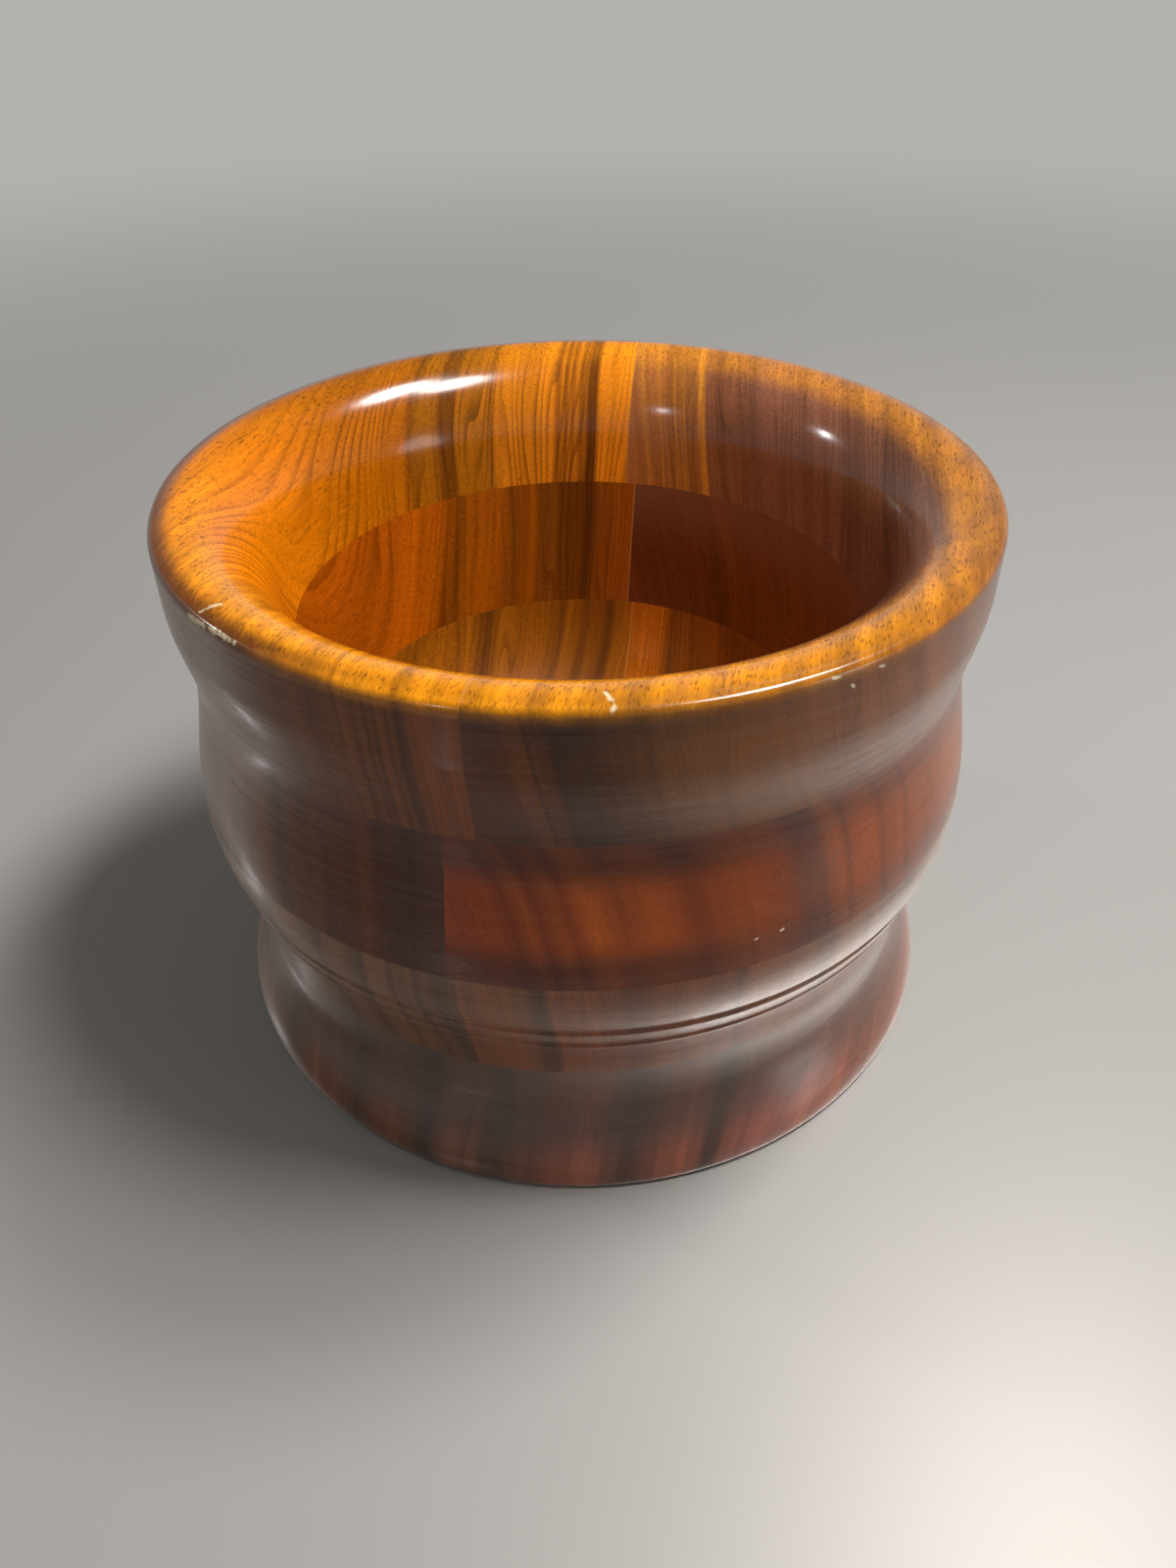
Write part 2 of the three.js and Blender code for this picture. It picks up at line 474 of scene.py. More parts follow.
    def heartwood(self, tree: Tree, place: BoardPlace) -> Socket:
        """Lays the heartwood's stripes, with painted light and shade: inside and outside take copies of one wood, each
        made lighter or darker for the light that side gets.

        Args:
            tree: The material's node tree.
            place: Place on the board.

        Returns:
            Colour of the stripes.
        """
        ramps = []
        # Painted light and shade: each side takes its own copy of the stripes, lit or shaded as that side is
        for bands in (self.inside_bands_with_painted_light, self.outside_bands_with_painted_light):
            low, high = bands[0][0], bands[-1][0]
            share = add_node(tree, "MapRange", {"Value": place.across, "From Min": low, "From Max": high})
            ramp = add_node(tree, "ValToRGB", {"Fac": share})
            stops = ramp.node.color_ramp.elements
            while len(stops) < len(bands):
                stops.new(0.5)
            for stop, (distance, colour) in zip(stops, bands):
                stop.position = (distance - low) / (high - low)
                stop.color = linear(colour)
            ramps.append(ramp)
        return add_node(tree, "Mix", {0: place.outside, 6: ramps[0], 7: ramps[1]}, out=2, data_type="RGBA")

    def growth_rings(self, tree: Tree, place: BoardPlace) -> Socket:
        """Draws growth rings, each pale at its start and dark at its end, of uneven width and strength.

        Args:
            tree: The material's node tree.
            place: Place on the board.

        Returns:
            Shade of the rings, about 1 on average.
        """
        uneven = self.stretched_noise(tree, place.layered, RING_SPACING_CELL, detail=1.0)
        count = add_node(tree, "Math", {0: place.across, 1: 1 / self.ring_width}, operation="MULTIPLY")
        count = add_node(tree, "Math", {0: uneven, 1: RING_STRAY, 2: count}, operation="MULTIPLY_ADD")
        count = add_node(tree, "Math", {0: count}, operation="FRACT")
        depth = self.stretched_noise(tree, place.spot, RING_STRENGTH_CELL, detail=1.0)
        depth = add_node(tree, "MapRange", {
            "Value": depth, "From Min": 0.35, "From Max": 0.65,
            "To Min": 0.2 * self.ring_depth, "To Max": 1.3 * self.ring_depth})
        # Rubbing and varnish blur them outside and on the crown
        for part in (place.outside, place.crown):
            part = add_node(tree, "MapRange", {"Value": part, "To Min": 1.0, "To Max": 0.5})
            depth = add_node(tree, "Math", {0: depth, 1: part}, operation="MULTIPLY")
        rings = add_node(tree, "MapRange", {
            "Value": count, "From Min": 0.45, "From Max": 0.98, "To Min": -0.3}, **SMOOTH)
        rings = add_node(tree, "Math", {0: rings, 1: depth}, operation="MULTIPLY")
        return add_node(tree, "Math", {0: 1.0, 1: rings}, operation="SUBTRACT")

    def ring_groups(self, tree: Tree, place: BoardPlace) -> Socket:
        """Gives the shade of groups of rings, lighter and darker by turns, long along the fibres."""
        groups = self.stretched_noise(tree, place.layered, RING_GROUP_CELL, detail=3.0)
        return add_node(tree, "MapRange", {
            "Value": groups, "From Min": 0.34, "From Max": 0.64,
            "To Min": 1 - self.group_depth, "To Max": 1 + self.group_depth})

    def fibres(self, tree: Tree, place: BoardPlace) -> Socket:
        """Gives the shade of single fibres, about 1 on average."""
        fibres = self.stretched_noise(tree, place.spot, FIBRE_CELL, detail=1.0)
        return add_node(tree, "MapRange", {
            "Value": fibres, "From Min": 0.3, "From Max": 0.7, "To Min": 0.86, "To Max": 1.12})

    def pores(self, tree: Tree, place: BoardPlace) -> Socket:
        """Gives the shade of pores, dashes on long grain and dots on end grain, darkest on the crown."""
        pores = self.stretched_noise(tree, place.spot, PORE_CELL, detail=0.0)
        least = add_node(tree, "MapRange", {"Value": place.crown, "To Min": 0.66, "To Max": 0.5})
        least = add_node(tree, "MapRange", {"Value": place.outside, "To Min": least, "To Max": 0.8})
        return add_node(tree, "MapRange", {
            "Value": pores, "From Min": 0.6, "From Max": 0.74, "To Min": 1.0, "To Max": least})

    def dark_corner_and_painted_shade(self, tree: Tree, place: BoardPlace, groups: Socket) -> list[Socket]:
        """Shades the darker parts of a board: a darker far outer corner, and painted shade next to the face joints.

        Args:
            tree: The material's node tree.
            place: Place on the board.
            groups: Shade of the groups of rings, which frays the dark edges.

        Returns:
            Shades of the far outer corner and painted shade on the edges outside next to the face joints, where the
            board has them.
        """
        darkened = []
        if self.back_shade < 1:
            corner = add_node(tree, "MapRange", {"Value": place.along, "From Min": -30.0, "From Max": 45.0}, **SMOOTH)
            outer = add_node(tree, "Math", {0: place.from_joint}, operation="ABSOLUTE")
            outer = add_node(tree, "MapRange", {
                "Value": outer, "From Min": 22.0, "From Max": 48.0, "To Max": 1 - self.back_shade}, **SMOOTH)
            darkened.append(add_node(tree, "Math", {0: corner, 1: outer}, operation="MULTIPLY"))
        # Painted shade: outside, the wall darkens towards the face joints above and below, where less light falls
        if self.painted_edge_shade < 1:
            rise = add_node(tree, "Math", {0: place.up, 1: self.middle}, operation="SUBTRACT")
            rise = add_node(tree, "Math", {0: rise}, operation="ABSOLUTE")
            rise = add_node(tree, "Math", {0: groups, 1: FRAYING, 2: rise}, operation="MULTIPLY_ADD")
            edge = add_node(tree, "MapRange", {
                "Value": rise, "From Min": 9.5, "From Max": 16.5, "To Max": 1 - self.painted_edge_shade}, **SMOOTH)
            near_joint = add_node(tree, "MapRange", {
                "Value": place.from_joint, "From Min": 38.0, "From Max": 58.0, "To Min": 1.0, "To Max": 0.45}, **SMOOTH)
            for part in (near_joint, place.outside):
                edge = add_node(tree, "Math", {0: edge, 1: part}, operation="MULTIPLY")
            darkened.append(edge)
        return [add_node(tree, "Math", {0: 1.0, 1: part}, operation="SUBTRACT") for part in darkened]

    def coverings(self, tree: Tree, place: BoardPlace, shade: Socket, fibres: Socket) -> list[tuple[Socket, Any]]:
        """Lists what is laid over the wood's colour: wear, grime and glue, and painted sheen high on the inside and in
        the hollow above the foot.

        Args:
            tree: The material's node tree.
            place: Place on the board.
            shade: Shade of the grain.
            fibres: Shade of the fibres, which frays the grime.

        Returns:
            Strength and colour of each covering, the lowest first.
        """
        found: list[tuple[Socket, Any]] = []
        if self.inside_painted_sheen:
            # Painted sheen: inside, the upper part of the board is mixed towards a lighter, greyer colour that stands
            # in for a reflection
            upper = add_node(tree, "MapRange", {
                "Value": place.up, "From Min": self.middle - 4, "From Max": self.middle + 16, "To Max": self.inside_painted_sheen},
                **SMOOTH)
            inside_painted_sheen = add_node(tree, "MapRange", {"Value": place.outside, "To Min": upper, "To Max": 0.0})
            found.append((inside_painted_sheen, linear(INSIDE_SHEEN_COLOUR)))
        if self.crown_wear:
            pale = add_node(tree, "VectorMath", {0: linear(WORN_CROWN_COLOUR)[:3], "Scale": shade}, operation="SCALE")
            found.append((self.worn(tree, place), pale))
        if self.rim_grime:
            found.append((self.grime(tree, place, fibres), linear(GRIME_COLOUR)))
        if self.cove_painted_sheen:
            # Painted sheen: the hollow above the foot is greyed, standing in for the floor's reflection in it
            film = add_node(tree, "MapRange", {
                "Value": place.up, "From Min": 6.0, "From Max": 15.0, "To Max": self.cove_painted_sheen}, **SMOOTH)
            found.append((film, linear(COVE_SHEEN_COLOUR)))
        # A hair of pale glue shows along the edge joint, inside and on the crown; outside it has darkened
        glue = add_node(tree, "Math", {0: place.from_joint}, operation="ABSOLUTE")
        glue = add_node(tree, "MapRange", {
            "Value": glue, "From Min": 0.1, "From Max": 0.3, "To Min": 0.5, "To Max": 0.0})
        glue = add_node(tree, "MapRange", {"Value": place.outside, "To Min": glue, "To Max": 0.0})
        found.append((glue, linear(GLUE_COLOUR)))
        return found

    def worn(self, tree: Tree, place: BoardPlace) -> Socket:
        """Gives how far hands have worn the crown to paler wood: in uneven patches, least at the back."""
        worn = add_node(tree, "Math", {0: place.crown, 1: self.crown_wear}, operation="MULTIPLY")
        handled = add_node(tree, "MapRange", {
            "Value": place.along, "From Min": -76.0, "From Max": 0.0, "To Min": 1.0, "To Max": self.back_wear},
            **SMOOTH)
        patchy = self.stretched_noise(tree, place.spot, WEAR_CELL, detail=2.0)
        patchy = add_node(tree, "MapRange", {"Value": patchy, "From Min": 0.35, "From Max": 0.6, "To Min": 0.55})
        for part in (handled, patchy):
            worn = add_node(tree, "Math", {0: worn, 1: part}, operation="MULTIPLY")
        return worn

    def grime(self, tree: Tree, place: BoardPlace, fibres: Socket) -> Socket:
        """Gives the grime along the outer edge of the rim, which is rubbed clean at the very front."""
        reach = add_node(tree, "VectorMath", {0: place.spot, 1: (1, 1, 0)}, operation="MULTIPLY")
        reach = add_node(tree, "VectorMath", {0: reach}, out="Value", operation="LENGTH")
        reach = add_node(tree, "Math", {0: fibres, 1: FRAYING, 2: reach}, operation="MULTIPLY_ADD")
        grime = add_node(tree, "MapRange", {
            "Value": reach, "From Min": 87.0, "From Max": 91.2, "To Max": self.rim_grime}, **SMOOTH)
        return add_node(tree, "MapRange", {"Value": place.along, "From Min": -87.0, "From Max": -79.0, "To Max": grime})

    def chipped(self, tree: Tree, place: BoardPlace) -> Socket | None:
        """Finds the nicks, where the lacquer is chipped or scraped to bare wood.

        Args:
            tree: The material's node tree.
            place: Place on the board.

        Returns:
            1 in a nick and 0 beside it, with ragged edges, or None for a board without nicks.
        """
        if not self.nicks:
            return None
        ragged = self.stretched_noise(tree, place.spot, CHIP_CELL, detail=2.0)
        chipped: Any = 0.0
        for nick in self.nicks:
            run = Vector(nick.end) - Vector(nick.start)
            off = add_node(tree, "VectorMath", {0: place.spot, 1: nick.start}, operation="SUBTRACT")
            share = add_node(tree, "VectorMath", {
                0: off, 1: tuple(run / run.length_squared)}, out="Value", operation="DOT_PRODUCT")
            share = add_node(tree, "Math", {0: share, 1: 0.0}, operation="ADD", use_clamp=True)
            near = add_node(tree, "VectorMath", {0: tuple(run), "Scale": share}, operation="SCALE")
            gap = add_node(tree, "VectorMath", {0: off, 1: near}, out="Value", operation="DISTANCE")
            gap = add_node(tree, "Math", {0: ragged, 1: 1.6 * nick.width, 2: gap}, operation="MULTIPLY_ADD")
            inside = add_node(tree, "MapRange", {
                "Value": gap, "From Min": 1.1 * nick.width, "From Max": 1.6 * nick.width, "To Min": 1.0, "To Max": 0.0})
            chipped = add_node(tree, "Math", {0: chipped, 1: inside}, operation="MAXIMUM")
        return chipped

    def lacquer(self, tree: Tree, place: BoardPlace, colour: Socket, pores: Socket,
                chipped: Socket | None) -> Socket:
        """Lays clear lacquer over the wood. Sanding marks run round the wall, and the outside is rubbed duller.

        Args:
            tree: The material's node tree.
            place: Place on the board.
            colour: Colour of the wood.
            pores: Shade of the pores, which are also hollows.
            chipped: Where the nicks are, if the board has any.

        Returns:
            The finished surface.
        """
        marks = self.stretched_noise(tree, place.spot, SANDING_CELL, detail=2.0)
        rubbed = add_node(tree, "MapRange", {
            "Value": marks, "From Min": 0.35, "From Max": 0.65, "To Min": 0.7, "To Max": 1.3})
        rubbed = add_node(tree, "Math", {0: rubbed, 1: self.outside_coat}, operation="MULTIPLY", use_clamp=True)
        coat = add_node(tree, "MapRange", {"Value": place.outside, "To Min": self.inside_coat, "To Max": rubbed})
        dull = add_node(tree, "Math", {
            0: marks, 1: MARK_ROUGHNESS, 2: WOOD_ROUGHNESS + self.inside_dullness}, operation="MULTIPLY_ADD")
        rough = add_node(tree, "Math", {
            0: place.outside, 1: OUTSIDE_ROUGHNESS - self.inside_dullness, 2: dull}, operation="MULTIPLY_ADD")
        marks = add_node(tree, "Math", {0: marks, 1: place.outside}, operation="MULTIPLY")
        relief = add_node(tree, "Math", {0: marks, 1: MARK_RELIEF, 2: pores}, operation="MULTIPLY_ADD")
        if chipped is not None:
            relief = add_node(tree, "Math", {0: chipped, 1: NICK_RELIEF, 2: relief}, operation="MULTIPLY_ADD")
        bump = add_node(tree, "Bump", {"Strength": BUMP_STRENGTH, "Distance": BUMP_DISTANCE * MM, "Height": relief})
        return add_node(tree, "BsdfPrincipled", {
            "Base Color": colour, "Roughness": rough, "IOR": LACQUER_IOR, "Normal": bump, "Specular IOR Level": 0.2,
            "Coat Weight": coat, "Coat Roughness": self.coat_roughness, "Coat IOR": LACQUER_IOR})

    def stretched_noise(self, tree: Tree, place: Socket, size: tuple[float, float, float],
                        detail: float) -> Socket:
        """Lays soft noise in cells of a given size.

        Args:
            tree: The material's node tree.
            place: Place on the board in mm.
            size: Size of a cell along X, Y and Z in mm.
            detail: How many finer layers the noise has.

        Returns:
            Noise from 0 to 1, about 0.5 on average.
        """
        scaled = add_node(tree, "Mapping", {
            "Vector": place, "Location": (self.seed, 2.7 * self.seed, 1.3 * self.seed),
            "Scale": tuple(1 / length for length in size)})
        return add_node(tree, "TexNoise", {"Vector": scaled, "Scale": 1.0, "Detail": detail}, noise_dimensions="3D")


@dataclass
class Course:
    """Two boards side by side, edge-glued and turned as one ring of the bowl. Sizes in millimetres."""

    name: str
    base: float
    top: float
    joint: EdgeJoint
    woods: dict[Side, LacqueredWood]
    turn_steps: int = 240
    sharp_angle: float = 50.0
    boards: dict[Side, bpy.types.Object] = field(default_factory=dict)

    def build(self, form: TurnedForm) -> None:
        """Turns the course's section and saws it at the edge joint into its two boards."""
        outline = form.section(self.base, self.top)
        across = self.joint.across()
        for side in Side:
            ring = self.turned_ring(outline)
            bmesh.ops.bisect_plane(
                ring, geom=ring.verts[:] + ring.edges[:] + ring.faces[:], dist=SAW_TOLERANCE,
                plane_co=across * self.joint.offset * MM, plane_no=across,
                clear_outer=side is Side.LEFT, clear_inner=side is Side.RIGHT)
            open_edges = [edge for edge in ring.edges if edge.is_boundary]
            bmesh.ops.holes_fill(ring, edges=open_edges, sides=0)
            bmesh.ops.recalc_face_normals(ring, faces=ring.faces[:])
            name = f"{self.name}_board_{side.value}"
            mesh = bpy.data.meshes.new(f"{name}_turned")
            ring.to_mesh(mesh)
            ring.free()
            mesh.polygons.foreach_set("use_smooth", [True] * len(mesh.polygons))
            mesh.set_sharp_from_angle(angle=math.radians(self.sharp_angle))
            self.boards[side] = add_object(f"{name}_turned", mesh)

    def turned_ring(self, outline: list[tuple[float, float]]) -> bmesh.types.BMesh:
        """Turns a closed section round the lathe axis.

        Args:
            outline: Closed outline as (radius, height) points.

        Returns:
            Closed mesh of the whole ring.
        """
        ring = bmesh.new()
        rows = []
        for radius, height in outline:
            if radius < NEAR:
                rows.append([ring.verts.new((0, 0, height * MM))])
                continue
            angles = [2 * math.pi * (step + 0.5) / self.turn_steps for step in range(self.turn_steps)]
            rows.append([ring.verts.new((radius * math.cos(angle) * MM, radius * math.sin(angle) * MM, height * MM))
                         for angle in angles])
        for row, above in zip(rows, rows[1:] + rows[:1]):
            if len(row) == 1 and len(above) == 1:
                continue
            for step in range(self.turn_steps):
                after = (step + 1) % self.turn_steps
                corners = [row[step % len(row)], row[after % len(row)],
                           above[after % len(above)], above[step % len(above)]]
                ring.faces.new(list(dict.fromkeys(corners)))
        return ring

    def dress(self) -> None:
        """Gives each board its wood and sets it in place of its solid."""
        for side, board in self.boards.items():
            board.data.materials.append(self.woods[side].material())
            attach(board, "root")
            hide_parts(f"{self.name}_board_{side.value}")
            log.info("%s: %d faces, %s", board.name, len(board.data.polygons), self.woods[side].name)


# Edge joints as read off the photograph, and the boards from the rim down
RIM_JOINT = EdgeJoint(-0.5, 3.4)
BELLY_JOINT = EdgeJoint(-1.8, 0.0)
WAIST_JOINT = EdgeJoint(-0.3, 0.0)
FOOT_JOINT = EdgeJoint(7.0, 0.0)

# What the two boards of a course share: the waist is dull inside, the foot's hollow has painted sheen
WAIST_FINISH = {"middle": 48, "inside_dullness": 0.3, "outside_coat": 0.9, "inside_coat": 0.1, "coat_roughness": 0.22}
FOOT_FINISH = {"middle": 16, "wander": 3.5, "group_depth": 0.24, "cove_painted_sheen": 0.65, "outside_coat": 1.0,
               "coat_roughness": 0.24}

# Each board's outside and inside stripes are one wood, painted with the light, shade and sheen of that side
RIM_LEFT_WOOD = LacqueredWood(
    "lacquered_amber_heartwood_plain_edge",
    ((-95, "#6a3e1c"), (-85, "#704220"), (-83.5, "#543014"), (-80, "#704220"), (-74, "#704220"), (-72, "#563114"),
     (-69, "#704220"), (-61, "#6e401e"), (-59, "#54300f"), (-56, "#70411e"), (-47, "#70401c"), (-44.5, "#58310f"),
     (-42, "#733f18"), (-30, "#7a4117"), (-20, "#7d4112"), (-19, "#5c2a0b"), (-18.2, "#7d4112"),
     (-17.2, "#7d4112"), (-16.6, "#5c2a0b"), (-15.8, "#763d13"), (-15, "#5c2a0b"), (-14.2, "#7d4112"),
     (-13.2, "#793f10"), (-12.6, "#552709"), (-11.6, "#793f10"), (-10.6, "#552709"), (-9.6, "#64310c"),
     (-8.6, "#86400b"), (2, "#86400b")),
    ((-95, "#e67c06"), (-52, "#e67e08"), (-51, "#b8680e"), (-50, "#da8012"), (-46.5, "#da8012"), (-45, "#a35c10"),
     (-42, "#a35c10"), (-41, "#da8012"), (-35, "#da8012"), (-34, "#a86010"), (-33, "#d67c12"), (-20, "#d47a12"),
     (-18.6, "#94500c"), (-17.6, "#c87212"), (-16.6, "#94500c"), (-15.8, "#c87212"), (-15, "#94500c"),
     (-14, "#c87212"), (-12.6, "#94500c"), (-11.8, "#c47012"), (-11, "#80440c"), (-9, "#80440c"),
     (-8.3, "#e88616"), (2, "#e88616")),
    RIM_JOINT, middle=112, wander=1.2, ring_width=1.8, ring_depth=0.36, crown_wear=0.8, rim_grime=0.9, back_wear=0.25,
    back_shade=0.46,
    nicks=(Nick((-51.0, -70.8, 125.2), (-46.5, -74.2, 125.6), 0.8),
           Nick((-45.0, -75.0, 125.9), (-38.5, -78.6, 126.3), 0.9),
           Nick((-48.8, -71.2, 127.0), (-46.0, -68.6, 127.2), 0.7)),
    seed=3.1)
RIM_RIGHT_WOOD = LacqueredWood(
    "lacquered_amber_heartwood_dark_edge",
    ((-2, "#6a3208"), (7, "#643009"), (9, "#743a0e"), (10.6, "#743a0e"), (11.3, "#4a2408"), (12, "#6a350e"),
     (14, "#66330d"), (15.5, "#46240a"), (20, "#48260b"), (23, "#603410"), (28, "#744216"), (36, "#8c5422"),
     (46, "#945824"), (58, "#a45d26"), (61, "#925020"), (64, "#a85f26"), (69, "#a65e26"), (71, "#8a4a1c"),
     (73, "#a65e26"), (77, "#a25a24"), (79, "#7e441a"), (80.5, "#9e5822"), (84, "#9e5822"), (85.5, "#824618"),
     (87, "#985420"), (95, "#985420")),
    ((-2, "#b46c36"), (3, "#b06a32"), (4, "#c67c30"), (5, "#b06a32"), (7.4, "#aa662e"), (8, "#c67c30"),
     (8.8, "#b06a32"), (11.4, "#aa662e"), (12, "#c67c30"), (13, "#b06a32"), (14.5, "#c67c30"), (15.2, "#a0622e"),
     (18.5, "#a0622e"), (19, "#d2862e"), (20, "#d2862e"), (20.8, "#8e5636"), (26, "#90583a"), (30, "#885438"),
     (33, "#8e5a42"), (52, "#8e5a42"), (66, "#764c38"), (95, "#764c38")),
    RIM_JOINT, middle=112, pith=(-300.0, 60.0), wander=1.2, crown_wear=0.9, rim_grime=0.35, painted_edge_shade=0.75,
    nicks=(Nick((26.2, -79.0, 127.2), (28.2, -81.6, 127.0), 0.7),
           Nick((28.2, -81.6, 127.0), (28.0, -83.5, 125.9), 0.75),
           Nick((28.2, -81.6, 127.0), (29.8, -81.2, 127.0), 0.5),
           Nick((37.0, -79.6, 126.6), (38.6, -78.8, 126.6), 0.55),
           Nick((60.0, -63.8, 125.4), (61.0, -62.8, 125.2), 0.45),
           Nick((63.0, -60.9, 122.8), (63.4, -60.5, 122.2), 0.4),
           Nick((66.9, -56.5, 124.3), (67.6, -55.6, 123.9), 0.45)),
    seed=7.7)
BELLY_LEFT_WOOD = LacqueredWood(
    "lacquered_blackish_heartwood",
    ((-95, "#6a3410"), (-84, "#6a3410"), (-82, "#4c240b"), (-79, "#6a3410"), (-70, "#683310"), (-67.5, "#4e250b"),
     (-65, "#683310"), (-53, "#683310"), (-51, "#4e250b"), (-48, "#683310"), (-38, "#663210"), (-35.5, "#50260b"),
     (-33, "#663210"), (-27, "#663111"), (-25, "#5c280c"), (-18.5, "#5c280c"), (-17, "#68300e"), (-14.5, "#622c0d"),
     (-11, "#52220a"), (-6, "#4c200a"), (2, "#54240a")),
    ((-95, "#ba5806"), (-60, "#b85606"), (-53, "#a44e06"), (-50, "#b85806"), (-45, "#a25006"), (-42, "#7c4008"),
     (-40, "#a05206"), (-34, "#a45206"), (-31, "#80440a"), (-29, "#a25206"), (-26.5, "#a45406"), (-24.5, "#7a400a"),
     (-21, "#884a0c"), (-19.5, "#6c3808"), (-14, "#7a400a"), (-12.5, "#683608"), (-10, "#7a400a"), (-8.5, "#9e500c"),
     (2, "#9e500c")),
    BELLY_JOINT, middle=81, coat_roughness=0.16, seed=11.3)
BELLY_RIGHT_WOOD = LacqueredWood(
    "lacquered_red_orange_heartwood",
    ((-2, "#aa4205"), (9, "#a84205"), (12, "#903905"), (15, "#b24f08"), (17, "#903905"), (20, "#b55108"),
     (22, "#983c05"), (25, "#bd560a"), (30, "#aa4b08"), (36, "#ae4d08"), (43, "#8c3907"), (49, "#9b4407"),
     (56, "#903c07"), (59, "#6f2e05"), (62, "#6f2e05"), (64, "#9b450c"), (65.5, "#9b450c"), (66.3, "#833908"),
     (67, "#9b450c"), (71, "#9b450c"), (72, "#7f3708"), (73, "#9b450c"), (75.4, "#9b450c"), (76, "#7f3708"),
     (77, "#9b450c"), (95, "#94440c")),
    ((-2, "#703414"), (20, "#703414"), (23, "#5a2c12"), (26, "#7c3c18"), (40, "#743a18"), (95, "#7c421c")),
    BELLY_JOINT, middle=81, pith=(-80.0, 52.0), ring_depth=0.13, group_depth=0.16, painted_edge_shade=0.36, inside_painted_sheen=0.42,
    coat_roughness=0.2,
    nicks=(Nick((52.7, -71.0, 71.3), (53.1, -70.7, 71.3), 0.45),
           Nick((56.9, -67.6, 71.4), (57.4, -67.2, 71.5), 0.4)),
    seed=15.9)
WAIST_LEFT_WOOD = LacqueredWood(
    "lacquered_olive_heartwood",
    ((-95, "#724c2c"), (-82, "#764c2d"), (-79.5, "#57371e"), (-77, "#764c2d"), (-66, "#784d2d"), (-63, "#5b3920"),
     (-61, "#7a4e2c"), (-48, "#7c4f2d"), (-45.5, "#5b391e"), (-43, "#7e502d"), (-33, "#80512d"), (-31, "#5f3b20"),
     (-29, "#82522f"), (-25, "#82522f"), (-20, "#5b371e"), (-18.5, "#82522f"), (-14, "#82522f"), (-13, "#5b371e"),
     (-11.5, "#82522f"), (-8, "#82522f"), (-7, "#5b371e"), (-5.5, "#82522f"), (-2.5, "#5b371e"), (2, "#6b401e")),
    ((-95, "#995504"), (-40, "#995504"), (-36, "#703e06"), (-33, "#9c5804"), (-22, "#995504"), (-20, "#703e06"),
     (-18, "#9c5804"), (-13, "#703e06"), (-11.5, "#a05a04"), (-7, "#643606"), (-5, "#a05a04"), (2, "#a05a04")),
    WAIST_JOINT, **WAIST_FINISH, seed=19.2)
WAIST_RIGHT_WOOD = LacqueredWood(
    "lacquered_tan_heartwood",
    ((-2, "#8f4b19"), (12, "#85481a"), (13.5, "#5b3311"), (15.5, "#5b3311"), (17, "#89461c"), (30, "#85461e"),
     (33, "#693718"), (36, "#85461e"), (49, "#83461e"), (51, "#67371a"), (53, "#83461e"), (64, "#824620"),
     (67, "#613516"), (69, "#804620"), (78, "#7e4420"), (80, "#65391c"), (82, "#7a4420"), (95, "#7a4420")),
    ((-2, "#c66a04"), (10, "#c66a04"), (13, "#7e4608"), (15, "#9c560c"), (30, "#92500e"), (95, "#8a4c10")),
    WAIST_JOINT, **WAIST_FINISH, seed=23.8)
FOOT_LEFT_WOOD = LacqueredWood(
    "lacquered_dark_red_heartwood",
    ((-100, "#84482c"), (-70, "#7c4228"), (-62, "#5a3422"), (-54, "#8c4e30"), (-46, "#84482c"), (-41, "#543222"),
     (-36, "#7c4228"), (-30, "#8c4e30"), (-24, "#5a3824"), (-20, "#4e3020"), (-16, "#80482e"), (-9, "#84482c"),
     (-6, "#5a3422"), (2, "#6c4028")),
    ((-100, "#84482c"), (-40, "#70472e"), (-20, "#80482e"), (2, "#70472e")),
    FOOT_JOINT, **FOOT_FINISH, seed=27.4)
FOOT_RIGHT_WOOD = LacqueredWood(
    "lacquered_red_patched_heartwood",
    ((-2, "#764830"), (8, "#84462e"), (13, "#a4583e"), (18, "#94503a"), (22, "#5a3626"), (25, "#522f22"),
     (29, "#8c4a32"), (35, "#a0543a"), (38.5, "#7c4430"), (39.8, "#48291e"), (42, "#4a2a1e"), (43.5, "#864a34"),
     (48, "#a0584a"), (54, "#8a4c3c"), (60, "#a4563e"), (72, "#84462f"), (90, "#944e34")),
    ((-2, "#764830"), (35, "#944e34"), (90, "#7c422e")),
    FOOT_JOINT, **FOOT_FINISH, seed=31.6)


@dataclass(frozen=True)
class Lamp:
    """A round soft lamp aimed at the bowl: degrees from +Y towards +X and up, distance and size in m, power in W."""

    name: str
    azimuth: float
    elevation: float
    distance: float
    size: float
    power: float


